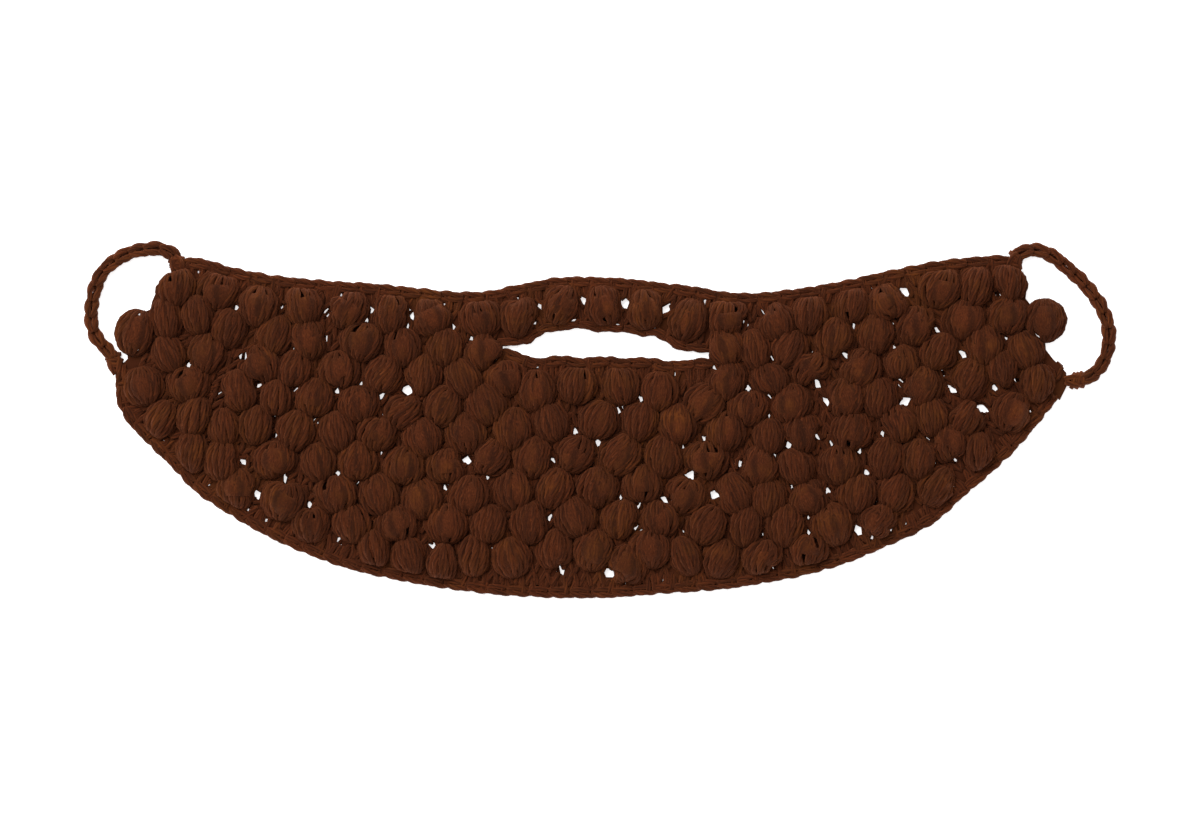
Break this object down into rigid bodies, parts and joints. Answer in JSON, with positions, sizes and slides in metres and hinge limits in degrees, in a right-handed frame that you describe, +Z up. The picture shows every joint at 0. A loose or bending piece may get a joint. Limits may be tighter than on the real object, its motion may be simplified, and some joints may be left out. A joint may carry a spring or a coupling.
{
  "type": "crocheted fake beard with ear loops",
  "caption": "Crocheted bobble-stitch fake beard with moustache band, mouth slit and chain-stitch ear loops, lying flat.",
  "frame": {"origin": "on the surface that the beard lies on, under the middle of the beard without its ear loops", "axes": "+Z up, out of the bobbled face; +Y towards the moustache's top edge; +X to the right as seen from above"},
  "size_m": [0.3196, 0.1106, 0.01],
  "materials": {
    "bobble_yarn": "matt woolly yarn",
    "edging_yarn": "matt woolly yarn",
    "cord_yarn": "matt woolly yarn"
  },
  "bodies": {
    "root": {"bobble_panel": "bobble_yarn", "moustache": "bobble_yarn", "top_edging": "edging_yarn", "bottom_edging": "edging_yarn", "upper_lip_edging": "edging_yarn", "lower_lip_edging": "edging_yarn", "side_bobble_left": "bobble_yarn", "side_bobble_right": "bobble_yarn", "ear_loop_left": "cord_yarn", "ear_loop_right": "cord_yarn"}
  },
  "joints": []
}
